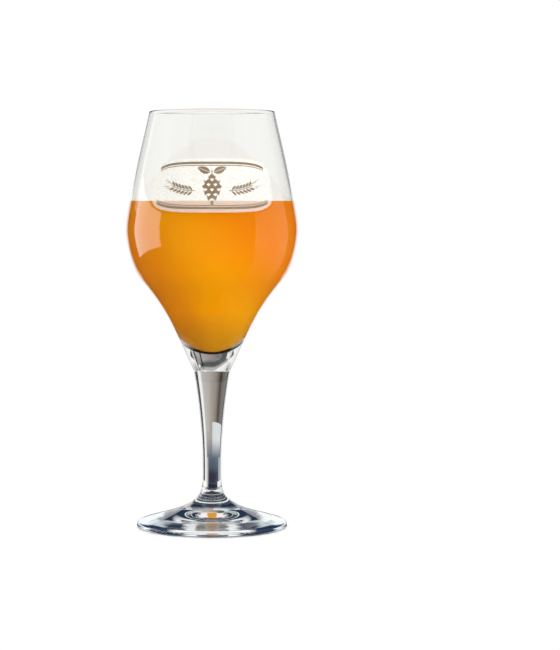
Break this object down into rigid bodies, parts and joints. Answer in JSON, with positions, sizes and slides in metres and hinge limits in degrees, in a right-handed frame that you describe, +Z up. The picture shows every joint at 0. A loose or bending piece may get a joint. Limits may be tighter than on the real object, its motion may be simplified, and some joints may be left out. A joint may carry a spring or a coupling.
{
  "type": "stemmed beer glass",
  "caption": "Stemmed tulip beer glass with a tapered bowl holding amber beer, a drawn stem, a spread foot and a plain hop and barley enamel label.",
  "frame": {"origin": "centre of the foot, on the surface that the glass stands on", "axes": "+Z up along the glass's axis, -Y towards the label"},
  "size_m": [0.0858, 0.0858, 0.208],
  "materials": {
    "glass": "polished",
    "beer": "gloss",
    "enamel_white": "satin",
    "enamel_brown": "satin"
  },
  "bodies": {
    "root": {"foot": "glass", "stem": "glass", "bowl": "glass", "beer": "beer", "label_ground": "enamel_white", "border_top": "enamel_brown", "border_bottom": "enamel_brown", "hop_cone": "enamel_brown", "hop_leaf_left": "enamel_brown", "hop_leaf_right": "enamel_brown", "barley_ear_left": "enamel_brown", "barley_ear_right": "enamel_brown"}
  },
  "joints": []
}
